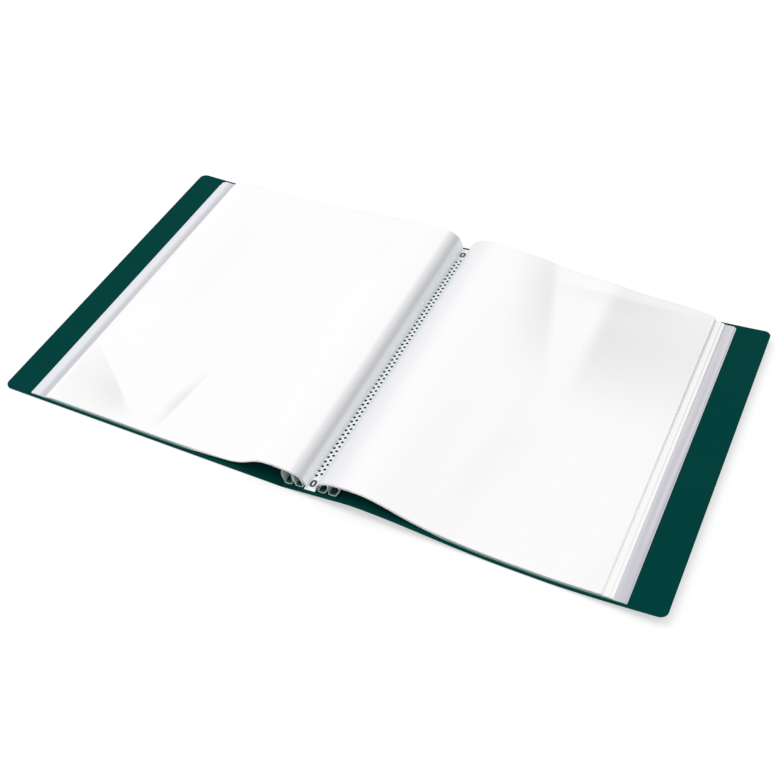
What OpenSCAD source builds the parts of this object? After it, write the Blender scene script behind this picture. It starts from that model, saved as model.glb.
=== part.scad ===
// Clear-pocket album for stamp sheets and cards, lying open at its middle pages.
// X runs across the open album, Y along the spine towards the pocket mouths, Z up.
// The origin is on the table, under the middle of the open cover.

/* [Cover] */
// Height of the album, along the spine
cover_h = 310; // [220:1:420]
// Width of each cover panel, from its crease to its outer edge
panel_w = 244.8; // [200:0.2:320]
// Width of the spine panel between the two creases
spine_w = 44; // [43:1:70]
// Thickness of the cover sheet
cover_t = 0.8; // [0.6:0.1:1.5]
// Width of the thinned crease beside the spine
crease_w = 2; // [1.5:0.1:4]
// Thickness left in the crease
crease_t = 0.35; // [0.2:0.05:0.5]
// Radius of the four outer corners
corner_r = 6; // [2:0.5:15]

/* [Bow of the back cover] */
// Height that the spine climbs from the front crease to the back crease
spine_rise = 5.1; // [2:0.1:10]
// Height of the crown beside the back crease
crown_z = 6.4; // [3:0.1:12]
// Distance of the crown from the spine's edge
crown_d = 17; // [8:1:30]
// Distance from the spine's edge at which the cover touches the table
touch_d = 144; // [100:1:150]
// Distance from the spine's edge at which the cover leaves the table again
lift_d = 159; // [155:1:180]
// Height of the back cover's outer edge
edge_z = 7.2; // [0:0.1:15]

/* [Pockets] */
// Thickness of one pocket film
film_t = 0.15; // [0.1:0.05:0.2]
// Gap between the two films of an empty pocket
slit_t = 0.1; // [0.1:0.05:0.15]
// Width of the welded seams round a pocket
seam_w = 3; // [2:0.5:8]
// Radius of a pocket's outer corners
film_r = 3; // [1:0.5:8]
// Distance from one pocket to the next at the closed ends of the open stack
near_pitch = 0.55; // [0.55:0.05:1.5]
// Distance from one pocket to the next at the mouths, where the stack is puffed up
far_pitch = 1.6; // [0.6:0.05:2]
// Gap between the cover and the lowest pocket
stack_gap = 0.25; // [0.2:0.05:1]
// Cover left bare outside the lowest pocket
side_margin = 27.8; // [10:0.2:60]
// Cover left bare at the closed ends of the pockets
near_margin = 4; // [2:0.5:20]
// Cover left bare at the pocket mouths
far_margin = 7; // [2:0.5:20]
// How far the front film stops short of the back film at the mouth
mouth_step = 4; // [2:0.5:20]

/* [Welds] */
// Distance between neighbouring weld lines on the spine
weld_pitch = 9; // [8.5:0.1:12]
// Thickness of the films pressed together in one land
land_t = 1.5; // [0.8:0.1:2.5]
// Width of one diamond weld point, corner to corner
point_w = 2; // [1:0.1:2.2]
// Distance between the two rows of weld points
row_pitch = 3; // [2.4:0.1:3.2]
// Distance between the points of a row
point_pitch = 5; // [3:0.5:10]
// Length of the oval mark at each end of a weld
oval_l = 7; // [4:0.5:10]
// Width of the oval mark
oval_w = 4; // [3:0.5:6]

/* [Rise of the films beside the welds] */
// Thickness of a film pair between its weld and its pocket
root_t = 0.35; // [0.2:0.05:0.4]
// Distance between neighbouring films on the middle weld
root_pitch = 0.6; // [0.5:0.05:0.7]
// Distance of the films' crest from the middle of the album
crest_u = 32; // [30:1:36]
// Height of the top film's crest over the front cover, at the closed ends
front_crest_near = 16.6; // [14:0.1:22]
// Height of the top film's crest over the back cover, at the closed ends
back_crest_near = 18.4; // [16:0.1:24]
// Height of the top films' crests at the mouths
crest_far = 22.4; // [19:0.1:28]
// Distance between neighbouring films at the crest, at the closed ends
crest_pitch_near = 0.7; // [0.6:0.05:1]
// Distance between neighbouring films at the crest, at the mouths
crest_pitch_far = 1.1; // [0.7:0.05:1.5]
// Distance from the middle at which the front pockets lie flat
front_flat_u = 66; // [60:1:80]
// Distance from the middle at which the back pockets lie flat
back_flat_u = 104; // [90:1:115]

/* [Hidden] */
FRONT = -1;
BACK = 1;
$fn = 48;

// The seven pockets of a side, from the cover upwards: the weld that each hangs from, counted
// outwards from the middle, and whether it starts on the side of the weld nearer the middle.
POCKET_WELD = [2, 2, 1, 1, 0, 0, 0];
POCKET_CURLED = [false, true, false, true, false, false, false];
POCKETS = len(POCKET_WELD);
WELDS = 5;
MIDDLE_WELD = 3;

spine_half = spine_w / 2;
cover_half = spine_half + crease_w + panel_w;
edge_d = crease_w + panel_w;
near_y = -cover_h / 2 + near_margin;
far_y = cover_h / 2 - far_margin;
film_l = far_y - near_y;
pocket_t = 2 * film_t + slit_t;
crown_sharpness = 1.3;
edge_sharpness = 1.5;
CURVE_STEPS = 10;
PLATE_STEPS = 12;
PANEL_STEPS = 26;
fit_gap = 0.06;
land_edge = 0.12;
// From the middle of a weld to the nearest film pair that stands on it
first_root_u = row_pitch / 2 + point_w / 2 + 0.4;

// How a film pair climbs: its lean, its straight rise and its shoulder, as shares of the climb
CLIMB_LOWEST = [0.16, 0.60, 0.55];
CLIMB_CURLED = [0, 0.72, 0.63];
CLIMB_DIRECT = [0.10, 0.62, 0.66];
CLIMB_MIDDLE = [0.03, 0.66, 0.72];
big = 1000;

// ---- the cover's profile ----

// Height of the back cover's underside at a distance from the spine's edge
function bow_z(d) =
    d < crown_d ? crown_z - (crown_z - spine_rise) * pow(1 - d / crown_d, 2)
    : d < touch_d ? crown_z * pow((1 + cos(180 * (d - crown_d) / (touch_d - crown_d))) / 2, crown_sharpness)
    : d < lift_d ? 0
    : edge_z * pow((d - lift_d) / (edge_d - lift_d), edge_sharpness);

// Height of the cover's underside at any x
function base_z(x) =
    x <= -spine_half ? 0
    : x < spine_half ? spine_rise * (x + spine_half) / spine_w
    : bow_z(x - spine_half);

function steps(from, to, count) = [for (i = [0 : count]) from + (to - from) * i / count];

// Closed outline of a sheet that follows the cover, between two heights above its underside
function sheet_outline(side, us, low, high) = concat(
    [for (u = us) [side * u, base_z(side * u) + low]],
    [for (i = [len(us) - 1 : -1 : 0]) [side * us[i], base_z(side * us[i]) + high]]
);

// Sweeps an outline drawn in X and Z along the spine, from y0 to y1
module along_spine(y0, y1) {
    translate([0, y1, 0])
        rotate([90, 0, 0])
            linear_extrude(y1 - y0)
                children();
}

// A rectangle whose two outer corners are round
module round_plan(side, u0, u1, y0, y1, r) {
    u_mid = u1 - r;
    x_low = min(side * u0, side * u_mid);
    x_edge = min(side * u_mid, side * u1);
    translate([x_low, y0])
        square([abs(u_mid - u0), y1 - y0]);
    translate([x_edge, y0 + r])
        square([r, y1 - y0 - 2 * r]);
    for (y = [y0 + r, y1 - r])
        translate([side * u_mid, y])
            circle(r);
}

// ---- cover ----

module cover_panel(side, count) {
    u0 = spine_half + crease_w;
    color([0.01, 0.25, 0.235])
        intersection() {
            along_spine(-cover_h / 2, cover_h / 2)
                polygon(sheet_outline(side, steps(u0, cover_half, count), 0, cover_t));
            translate([0, 0, -1])
                linear_extrude(edge_z + crown_z + cover_t + 2)
                    round_plan(side, u0 - 1, cover_half, -cover_h / 2, cover_h / 2, corner_r);
        }
}

module front_cover() {
    cover_panel(FRONT, 1);
}

module back_cover() {
    cover_panel(BACK, PANEL_STEPS);
}

// The thinned web that the cover folds along
module living_hinge(side) {
    us = [spine_half, spine_half + crease_w];
    color([0.01, 0.2, 0.19])
        along_spine(-cover_h / 2, cover_h / 2)
            polygon(sheet_outline(side, us, 0, crease_t));
}

module front_hinge() {
    living_hinge(FRONT);
}

module back_hinge() {
    living_hinge(BACK);
}

module spine_panel() {
    color([0.01, 0.25, 0.235])
        along_spine(-cover_h / 2, cover_h / 2)
            polygon(sheet_outline(1, [-spine_half, spine_half], 0, cover_t));
}

// ---- welds ----

function weld_x(n) = (n - (WELDS + 1) / 2) * weld_pitch;
function land_top(x) = base_z(x) + cover_t + land_t;

// The films stand on the land outside its weld points: three pairs a side on the middle weld,
// one pair a side on the others
function land_half(n) =
    first_root_u + (n == MIDDLE_WELD ? 2 * root_pitch : 0) + root_t / 2 + land_edge;

// Two staggered rows of diamonds, clear of the end marks
module weld_points() {
    first = near_y + oval_l + 3 * point_w;
    last = far_y - oval_l - 3 * point_w;
    for (y = [first : point_pitch : last])
        translate([-row_pitch / 2, y])
            circle(point_w / 2, $fn = 4);
    for (y = [first + point_pitch / 2 : point_pitch : last])
        translate([row_pitch / 2, y])
            circle(point_w / 2, $fn = 4);
}

// An oval of the given size, its long axis along Y
module oval(w, l) {
    translate([-w / 2, -(l - w) / 2])
        square([w, l - w]);
    for (end = [-1, 1])
        translate([0, end * (l - w) / 2])
            circle(w / 2);
}

module oval_ring() {
    rim = 0.6;
    difference() {
        oval(oval_w, oval_l);
        oval(oval_w - 2 * rim, oval_l - 2 * rim);
    }
}

// The strip of films pressed flat on the spine, with its weld points and end marks
module weld_land(n) {
    x = weld_x(n);
    half = land_half(n);
    mark_depth = 0.4;
    mark_y = oval_l / 2 + 1.5;
    color([0.9, 0.92, 0.92])
        difference() {
            along_spine(near_y, far_y)
                polygon(sheet_outline(1, [x - half, x + half], cover_t, cover_t + land_t));
            translate([x, 0, -1])
                linear_extrude(land_top(x + half) + 2)
                    weld_points();
            for (y = [near_y + mark_y, far_y - mark_y])
                translate([x, y, land_top(x) - mark_depth])
                    linear_extrude(land_t)
                        oval_ring();
        }
}

// ---- pockets ----

function flat_u(side) = side == FRONT ? front_flat_u : back_flat_u;
function crest_top(side, y) =
    y == far_y ? crest_far
    : side == FRONT ? front_crest_near
    : back_crest_near;

// Height of a pocket's underside above the cover's underside, at the closed ends
function level(k) = cover_t + stack_gap + k * near_pitch;

// How far a pocket rises from its closed end to its mouth, as a height and as an angle
function mouth_rise(k) = k * (far_pitch - near_pitch);
function tilt(k) = atan(mouth_rise(k) / film_l);

// Tilts what lies level over the cover about the pockets' closed ends
module tilted(k) {
    translate([0, near_y, 0])
        rotate([tilt(k), 0, 0])
            translate([0, -near_y, 0])
                children();
}

// How much shorter a pocket reaches because its film climbs over the ones below it
function slack(k) = 1.3 * (2 - POCKET_WELD[k]) + (POCKET_CURLED[k] ? 3 : 0) + 0.4 * max(0, k - 4);

// Distance of a pocket's outer edge from the middle of the album
function outer_u(k) = cover_half - side_margin - (2 - POCKET_WELD[k]) * weld_pitch - slack(k);

// The sample points of a pocket across the album, with its seams' edges among them
function plate_us(side, k) = concat(
    [flat_u(side)],
    steps(flat_u(side) + seam_w, outer_u(k) - seam_w, side == FRONT ? 1 : PLATE_STEPS),
    [outer_u(k)]
);

// Back film with the raised rim that the front film is welded to, open at the far end
module back_film(side, k) {
    low = level(k);
    us = plate_us(side, k);
    inner_us = [for (i = [1 : len(us) - 2]) us[i]];
    color([0.93, 0.93, 0.95])
        tilted(k)
            difference() {
                intersection() {
                    along_spine(near_y, far_y)
                        polygon(sheet_outline(side, us, low, low + film_t + slit_t));
                    linear_extrude(low + edge_z + crown_z + pocket_t)
                        round_plan(side, us[0], outer_u(k), near_y, far_y, film_r);
                }
                along_spine(near_y + seam_w, far_y + 1)
                    polygon(sheet_outline(side, inner_us, low + film_t, low + pocket_t + 1));
            }
}

// Front film, shorter than the back film at the mouth
module front_film(side, k) {
    low = level(k) + film_t + slit_t;
    us = plate_us(side, k);
    mouth_y = far_y - mouth_step;
    color([0.97, 0.97, 0.98])
        tilted(k)
            intersection() {
                along_spine(near_y, mouth_y)
                    polygon(sheet_outline(side, us, low, low + film_t));
                linear_extrude(low + edge_z + crown_z + pocket_t)
                    round_plan(side, us[0], outer_u(k), near_y, mouth_y, film_r);
            }
}

function bezier(p, t) =
    pow(1 - t, 3) * p[0] + 3 * t * pow(1 - t, 2) * p[1] + 3 * t * t * (1 - t) * p[2] + pow(t, 3) * p[3];

function unit(v) = v / norm(v);

// Where a film pair leaves its land, as a distance from the middle
function start_u(k) =
    POCKET_WELD[k] > 0
    ? POCKET_WELD[k] * weld_pitch + (POCKET_CURLED[k] ? -1 : 1) * first_root_u
    : first_root_u + (POCKETS - 1 - k) * root_pitch;

// Height of a film pair's crest; the lowest one only clears its own weld
function crest_of(side, k, y) =
    k == 0 ? (crest_top(side, y) + land_top(side * 2 * weld_pitch)) / 2
    : crest_top(side, y) - (POCKETS - 1 - k) * (y == far_y ? crest_pitch_far : crest_pitch_near);

function climb_shares(k) =
    k == 0 ? CLIMB_LOWEST
    : POCKET_CURLED[k] ? CLIMB_CURLED
    : POCKET_WELD[k] > 0 ? CLIMB_DIRECT
    : CLIMB_MIDDLE;

// Climb from the land to the crest: straight up at first, then level
function climb(side, k, y) =
    let (
        u = start_u(k),
        z = land_top(side * u) + fit_gap,
        crest = crest_of(side, k, y),
        reach = crest_u - u,
        shares = climb_shares(k)
    )
    [
        [u, z],
        [u + shares[0] * reach, z + shares[1] * (crest - z)],
        [crest_u - shares[2] * reach, crest],
        [crest_u, crest]
    ];

// Fall from the crest to the flat pocket
function fall(side, k, y) =
    let (
        crest = crest_of(side, k, y),
        end_u = flat_u(side),
        rise = (y - near_y) / film_l * mouth_rise(k),
        end_z = base_z(side * end_u) + level(k) + pocket_t / 2 + rise,
        slope = (base_z(side * (end_u + 1)) - base_z(side * (end_u - 1))) / 2,
        run = end_u - crest_u
    )
    [
        [crest_u, crest],
        [crest_u + 0.4 * run, crest],
        [end_u - 0.45 * run, end_z - 0.45 * run * slope],
        [end_u, end_z]
    ];

function root_path(side, k, y) = concat(
    [for (i = [0 : CURVE_STEPS]) bezier(climb(side, k, y), i / CURVE_STEPS)],
    [for (i = [1 : CURVE_STEPS]) bezier(fall(side, k, y), i / CURVE_STEPS)]
);

// Direction across the film at each point of its path, level at the land and upright at the pocket
function across(path) = [
    for (i = [0 : len(path) - 1])
        let (
            run = i == 0 ? [0, 1]
                : i == len(path) - 1 ? [1, 0]
                : unit(path[i + 1] - path[i - 1])
        )
        [-run[1], run[0]]
];

// Outline of the film pair where it crosses the plane at y, as points in space
function root_outline(side, k, y) =
    let (
        path = root_path(side, k, y),
        normal = across(path),
        last = len(path) - 1,
        flat = concat(
            [for (i = [0 : last]) path[i] + normal[i] * root_t / 2],
            [for (i = [last : -1 : 0]) path[i] - normal[i] * root_t / 2]
        )
    )
    [for (p = flat) [side * p[0], y, p[1]]];

function reversed(list) = [for (i = [len(list) - 1 : -1 : 0]) list[i]];

// The film pair between its weld and its pocket, lofted from the closed ends to the mouths
module root(side, k) {
    near = root_outline(side, k, near_y);
    far = root_outline(side, k, far_y);
    count = len(near);
    walls = [
        for (i = [0 : count - 1])
            let (j = (i + 1) % count)
            each [[i, i + count, j + count], [i, j + count, j]]
    ];
    faces = concat(walls, [[for (i = [0 : count - 1]) i]], [[for (i = [count - 1 : -1 : 0]) i + count]]);
    color([0.85, 0.87, 0.88])
        polyhedron(concat(near, far), side == BACK ? faces : [for (face = faces) reversed(face)]);
}

module pocket_part(side, k, part) {
    if (part == "root") root(side, k);
    if (part == "back_film") back_film(side, k);
    if (part == "front_film") front_film(side, k);
}

// ---- assembly ----

front_cover();
front_hinge();
spine_panel();
back_hinge();
back_cover();
for (n = [1 : WELDS])
    weld_land(n);
for (k = [0 : POCKETS - 1])
    for (part = ["root", "back_film", "front_film"]) {
        pocket_part(FRONT, k, part);
        pocket_part(BACK, k, part);
    }
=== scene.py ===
# %% [markdown]
# # A clear-pocket album lying open
# Two stiff plastic covers are joined to a spine by thin folded webs. Seven clear pockets lie on
# each cover, welded along five strips on the spine, and their films rise from the welds in a soft
# hump before they lie down. The frame gives the covers, the spine, the welds and every joint at
# full size. This lesson lays the soft films over it and gives each surface its finish.

# %% Load the frame
import math

import bpy
from mathutils import Matrix, Vector, noise


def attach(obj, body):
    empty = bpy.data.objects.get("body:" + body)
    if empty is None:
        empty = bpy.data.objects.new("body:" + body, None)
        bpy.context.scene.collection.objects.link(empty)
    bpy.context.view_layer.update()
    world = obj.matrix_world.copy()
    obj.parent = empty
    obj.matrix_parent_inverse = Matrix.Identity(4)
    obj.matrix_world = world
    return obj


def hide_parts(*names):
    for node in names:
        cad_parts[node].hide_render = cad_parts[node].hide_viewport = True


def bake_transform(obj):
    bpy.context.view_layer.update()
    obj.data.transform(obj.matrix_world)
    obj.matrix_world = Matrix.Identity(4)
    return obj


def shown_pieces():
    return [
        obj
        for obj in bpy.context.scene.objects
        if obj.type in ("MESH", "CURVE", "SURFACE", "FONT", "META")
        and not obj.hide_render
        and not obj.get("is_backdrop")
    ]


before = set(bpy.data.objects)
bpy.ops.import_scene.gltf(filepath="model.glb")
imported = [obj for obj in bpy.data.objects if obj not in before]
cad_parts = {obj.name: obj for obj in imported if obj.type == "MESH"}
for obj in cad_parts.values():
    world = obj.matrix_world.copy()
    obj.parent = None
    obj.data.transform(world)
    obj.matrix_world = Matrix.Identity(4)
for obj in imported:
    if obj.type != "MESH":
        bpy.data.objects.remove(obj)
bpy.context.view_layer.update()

# %% [markdown]
# ## Where the camera stands
# The picture is taken from the right of the near edge, about 45 degrees down, with a normal lens.
# A camera looks along its own -Z, so three turns place it: roll, then tilt up from straight down,
# then the bearing round the album.

# %% The camera
CAMERA_PLACE = Vector((0.303683, -0.690793, 0.732641))
CAMERA_BEARING = math.radians(24.0422)
CAMERA_TILT = math.radians(90 - 45.3946)
CAMERA_ROLL = math.radians(0.63284)
LENS_MM = 60.033

bpy.ops.object.select_all(action="DESELECT")
bpy.ops.object.camera_add(location=CAMERA_PLACE)
camera = bpy.context.object
camera.name = "camera"
camera.matrix_world = (
    Matrix.Translation(CAMERA_PLACE)
    @ Matrix.Rotation(CAMERA_BEARING, 4, "Z")
    @ Matrix.Rotation(CAMERA_TILT, 4, "X")
    @ Matrix.Rotation(CAMERA_ROLL, 4, "Z")
)
camera.data.lens = LENS_MM
camera.data.sensor_width = 36
camera.data.clip_start = 0.01
bpy.context.scene.camera = camera
print("camera at", tuple(round(v, 3) for v in CAMERA_PLACE))

# %% [markdown]
# ## Helpers for shader nodes
# Every finish is a small tree of shader nodes. These helpers keep the cells short: one adds a node
# and sets its values, others join sockets or feed them numbers and tones. The noises read Object
# coordinates, which are metres here, so a noise scale of 1000 has grains of about a millimetre.
# Only the tones up the slope of a film follow its own UV map.

# %% Nodes and links
RANGE_LABELS = ("From Min", "From Max", "To Min", "To Max")
# A Mix node has sockets for every kind of data. These are its factor, two colours and result.
MIX_FACTOR = 0
MIX_FIRST = 6
MIX_SECOND = 7
MIX_RESULT = 2


def add_node(tree, kind, **values):
    """A node of that kind, with its properties and unlinked sockets set by name."""
    made = tree.nodes.new(kind)
    for name, value in values.items():
        if hasattr(made, name):
            setattr(made, name, value)
        else:
            made.inputs[name.replace("_", " ")].default_value = value
    return made


def join(tree, source, output, target, input_name):
    """Links an output of one node to an input of another."""
    tree.links.new(source.outputs[output], target.inputs[input_name])


def feed(tree, given, socket):
    """Links an output socket to an input, or sets the input to a number or a tone."""
    if isinstance(given, bpy.types.NodeSocket):
        tree.links.new(given, socket)
    else:
        socket.default_value = given


def math_node(tree, operation, *given):
    """The result of a Math node, with each input a number or an output socket."""
    made = add_node(tree, "ShaderNodeMath", operation=operation)
    for socket, value in zip(made.inputs, given):
        feed(tree, value, socket)
    return made.outputs[0]


def map_range(tree, value, limits, results=(0.0, 1.0), kind="LINEAR"):
    """A value carried over from one range to another."""
    made = add_node(tree, "ShaderNodeMapRange", interpolation_type=kind)
    feed(tree, value, made.inputs["Value"])
    for label, given in zip(RANGE_LABELS, (*limits, *results)):
        feed(tree, given, made.inputs[label])
    return made.outputs["Result"]


def mix_tones(tree, share, first, second):
    """A colour between two tones, each a colour or an output socket."""
    made = add_node(tree, "ShaderNodeMix", data_type="RGBA")
    feed(tree, share, made.inputs[MIX_FACTOR])
    feed(tree, first, made.inputs[MIX_FIRST])
    feed(tree, second, made.inputs[MIX_SECOND])
    return made.outputs[MIX_RESULT]


print("helpers for nodes ready")


# %% Groups and materials
def start_group(name, inputs, outputs):
    """A node group with number inputs and the outputs given as (name, kind)."""
    group = bpy.data.node_groups.new(name, "ShaderNodeTree")
    group.interface.new_socket("Vector", in_out="INPUT", socket_type="NodeSocketVector")
    for label, value in inputs:
        socket = group.interface.new_socket(label, in_out="INPUT", socket_type="NodeSocketFloat")
        socket.default_value = value
    for label, kind in outputs:
        group.interface.new_socket(label, in_out="OUTPUT", socket_type=kind)
    return group, group.nodes.new("NodeGroupInput"), group.nodes.new("NodeGroupOutput")


def start_material(name):
    """An empty material with its Principled shader and Object coordinates."""
    material = bpy.data.materials.new(name)
    material.use_nodes = True
    tree = material.node_tree
    shader = tree.nodes["Principled BSDF"]
    place = tree.nodes.new("ShaderNodeTexCoord")
    return material, tree, shader, place


def use_group(tree, group, place, **values):
    """The group as a node in a material, reading Object coordinates, with its own values."""
    made = tree.nodes.new("ShaderNodeGroup")
    made.node_tree = group
    join(tree, place, "Object", made, "Vector")
    for name, value in values.items():
        made.inputs[name.replace("_", " ")].default_value = value
    return made


print("helpers for groups and materials ready")

# %% [markdown]
# ## Light and floor
# White film on a white floor needs light from all round and only a little from one side: the
# world gives the even part, and one large lamp on the left turns the right-hand slopes a touch
# darker. The world is plain white where the camera or a reflection looks at it, and the floor
# glows a little by itself, so the background is white without more light on the album.

# %% Light
WORLD_LEVEL = 0.80
LAMP_WATTS = 17
LAMP_SIZE = 1.6
LAMP_PLACE = Vector((-0.9, 0.1, 2.4))

bpy.context.scene.view_settings.view_transform = "Standard"
world = bpy.data.worlds.new("studio")
bpy.context.scene.world = world
world.use_nodes = True
sky = world.node_tree
sky.nodes["Background"].inputs["Color"].default_value = (1, 1, 1, 1)
rays = sky.nodes.new("ShaderNodeLightPath")
seen = math_node(sky, "MAXIMUM", rays.outputs["Is Camera Ray"], rays.outputs["Is Glossy Ray"])
level = map_range(sky, seen, (0.0, 1.0), (WORLD_LEVEL, 1.0))
sky.links.new(level, sky.nodes["Background"].inputs["Strength"])

bpy.ops.object.light_add(type="AREA", location=LAMP_PLACE)
lamp = bpy.context.object
lamp.name = "softbox"
lamp.data.size = LAMP_SIZE
lamp.data.energy = LAMP_WATTS
lamp.rotation_euler = (-LAMP_PLACE).to_track_quat("-Z", "Y").to_euler()
print("lamp of", LAMP_WATTS, "W over the left cover")

# %% Floor
FLOOR_SIZE = 12
FLOOR_DROP = 0.0003

bpy.ops.object.select_all(action="DESELECT")
bpy.ops.mesh.primitive_plane_add(size=FLOOR_SIZE, location=(0, 0, -FLOOR_DROP))
floor = bpy.context.object
floor.name = "floor"
floor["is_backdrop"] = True
print("floor", FLOOR_SIZE, "m across")

# %% Floor material
FLOOR_SHADES = ((0.54, 0.54, 0.54, 1), (0.56, 0.56, 0.56, 1))
FLOOR_GLOW = 0.5

floor_finish, tree, shader, place = start_material("floor_white")
paper = add_node(tree, "ShaderNodeTexNoise", Scale=5.0, Detail=3.0)
join(tree, place, "Object", paper, "Vector")
tree.links.new(mix_tones(tree, paper.outputs[0], *FLOOR_SHADES), shader.inputs["Base Color"])
shader.inputs["Roughness"].default_value = 0.9
shader.inputs["Specular IOR Level"].default_value = 0.0
shader.inputs["Emission Color"].default_value = (1, 1, 1, 1)
shader.inputs["Emission Strength"].default_value = FLOOR_GLOW
floor.data.materials.append(floor_finish)
print("floor finish", floor_finish.name)

# %% [markdown]
# ## Grain and handling
# Sheet plastic is never quite smooth: a fine grain is rolled into it, and hands leave faint marks
# that change the gloss. Both effects show on several finishes, so each is one node group with its
# own scale and depth wherever it is used.

# %% The rolled grain
BUMP_REACH = 0.0002

grain, grain_in, grain_out = start_group(
    "rolled_grain",
    [("Scale", 1200.0), ("Depth", 1.0)],
    [("Height", "NodeSocketFloat")],
)
fine_noise = add_node(grain, "ShaderNodeTexNoise", Detail=3.0, Roughness=0.6)
cell_noise = add_node(grain, "ShaderNodeTexVoronoi", feature="SMOOTH_F1")
for pattern in (fine_noise, cell_noise):
    join(grain, grain_in, "Vector", pattern, "Vector")
    join(grain, grain_in, "Scale", pattern, "Scale")
grain_sum = math_node(grain, "ADD", fine_noise.outputs[0], cell_noise.outputs["Distance"])
grain_height = math_node(grain, "MULTIPLY", grain_sum, grain_in.outputs["Depth"])
grain.links.new(grain_height, grain_out.inputs["Height"])


def give_grain(tree, shader, place, scale, strength):
    """Presses the rolled grain into a material's surface."""
    face = use_group(tree, grain, place, Scale=scale, Depth=1.0)
    dents = add_node(tree, "ShaderNodeBump", Strength=strength, Distance=BUMP_REACH)
    join(tree, face, "Height", dents, "Height")
    join(tree, dents, "Normal", shader, "Normal")


print("group", grain.name, "with", len(grain.nodes), "nodes")

# %% The marks of handling
SMUDGE_SPREAD = (0.32, 0.68)
SMUDGE_CLEAR = (0.5, 0.72)

handling, handling_in, handling_out = start_group(
    "handling",
    [("Scale", 9.0), ("Low", 0.3), ("High", 0.5)],
    [("Roughness", "NodeSocketFloat"), ("Mask", "NodeSocketFloat")],
)
smudges = add_node(handling, "ShaderNodeTexNoise", Detail=5.0, Roughness=0.55, Distortion=0.6)
join(handling, handling_in, "Vector", smudges, "Vector")
join(handling, handling_in, "Scale", smudges, "Scale")
rough_range = (handling_in.outputs["Low"], handling_in.outputs["High"])
smudge_gloss = map_range(handling, smudges.outputs[0], SMUDGE_SPREAD, rough_range)
smudge_mask = map_range(handling, smudges.outputs[0], SMUDGE_CLEAR)
handling.links.new(smudge_gloss, handling_out.inputs["Roughness"])
handling.links.new(smudge_mask, handling_out.inputs["Mask"])


def give_handling(tree, shader, place, scale, low, high):
    """Varies a material's roughness as hands do, and returns the mask of the marks."""
    marks = use_group(tree, handling, place, Scale=scale, Low=low, High=high)
    join(tree, marks, "Roughness", shader, "Roughness")
    return marks.outputs["Mask"]


print("group", handling.name, "with", len(handling.nodes), "nodes")

# %% [markdown]
# ## Deep green sheet for the covers
# The covers are thick green polypropylene with a satin face. The green is mixed from two close
# tones by a slow noise, the grain feeds a weak bump, and handling feeds the roughness. The
# specular level is low, because a rolled satin face scatters most of what it would mirror.

# %% Cover material
COVER_GREEN = (0.0002, 0.0530, 0.0460, 1)
COVER_DEEP = (0.0001, 0.0450, 0.0400, 1)
COVER_RUB = (0.0020, 0.0640, 0.0560, 1)
RUB_SHARE = 0.25
COVER_SPECULAR = 0.01


def green_sheet(name, light, dark, grain_scale, bump):
    """Satin green plastic, a little lighter where it is rubbed."""
    material, tree, shader, place = start_material(name)
    slow = add_node(tree, "ShaderNodeTexNoise", Scale=14.0, Detail=4.0)
    join(tree, place, "Object", slow, "Vector")
    tones = mix_tones(tree, slow.outputs[0], dark, light)
    marks = give_handling(tree, shader, place, scale=16.0, low=0.42, high=0.58)
    rub = math_node(tree, "MULTIPLY", marks, RUB_SHARE)
    tree.links.new(mix_tones(tree, rub, tones, COVER_RUB), shader.inputs["Base Color"])
    give_grain(tree, shader, place, grain_scale, bump)
    shader.inputs["Specular IOR Level"].default_value = COVER_SPECULAR
    return material


cover_finish = green_sheet("green_cover", COVER_GREEN, COVER_DEEP, grain_scale=1300.0, bump=0.35)
hinge_finish = green_sheet("green_hinge", COVER_DEEP, COVER_DEEP, grain_scale=2600.0, bump=0.15)
print("covers:", cover_finish.name, "and", hinge_finish.name)


# %% Put it on the covers
def dress(node_name, finish):
    """Gives a piece of the frame its finish."""
    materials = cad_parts[node_name].data.materials
    materials.clear()
    materials.append(finish)


for node_name in ("front_cover", "back_cover", "spine_panel"):
    dress(node_name, cover_finish)
for node_name in ("front_hinge", "back_hinge"):
    dress(node_name, hinge_finish)
print("green on 5 nodes")

# %% [markdown]
# ## The weld strips
# A heated tool presses the films flat on the spine. The strip is milky and glossy, and where the
# tool pressed deepest the green shows through: two staggered rows of diamonds, with an oval ring at
# each end. The frame has the diamonds as holes through the strip and the rings as shallow grooves.
# The dark tint spreads a little past both, so a node group works it out from the same pitches.

# %% The weld's marks
WELD_PITCH = 0.009
ROW_HALF = 0.0015
POINT_PITCH = 0.005
FIRST_POINT = 0.138
POINT_REACH = 0.00145
POINT_FADE = 0.12
WELD_MIDDLE_Y = -0.0015
RING_Y = 0.1445
RING_STRAIGHT = 0.0012
RING_RADIUS = 0.0015
RING_HALF_WIDTH = 0.00085
RING_FADE = 0.2


def inside(tree, distance, reach, fade):
    """1 where a distance is under the reach, with an edge that fades by that share of it."""
    return map_range(tree, distance, ((1 - fade) * reach, (1 + fade) * reach), (1.0, 0.0))


stamp, stamp_in, stamp_out = start_group("weld_marks", [], [("Mask", "NodeSocketFloat")])
split = stamp.nodes.new("ShaderNodeSeparateXYZ")
join(stamp, stamp_in, "Vector", split, "Vector")
across = math_node(stamp, "WRAP", split.outputs["X"], WELD_PITCH / 2, -WELD_PITCH / 2)
reaches = []
for row, first_y in ((-ROW_HALF, FIRST_POINT), (ROW_HALF, FIRST_POINT - POINT_PITCH / 2)):
    aside = math_node(stamp, "ABSOLUTE", math_node(stamp, "SUBTRACT", across, row))
    shifted = math_node(stamp, "ADD", split.outputs["Y"], first_y)
    beside = math_node(stamp, "PINGPONG", shifted, POINT_PITCH / 2)
    reaches.append(math_node(stamp, "ADD", aside, beside))
nearest = math_node(stamp, "MINIMUM", *reaches)
from_middle = math_node(stamp, "SUBTRACT", split.outputs["Y"], WELD_MIDDLE_Y)
from_middle = math_node(stamp, "ABSOLUTE", from_middle)
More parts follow.
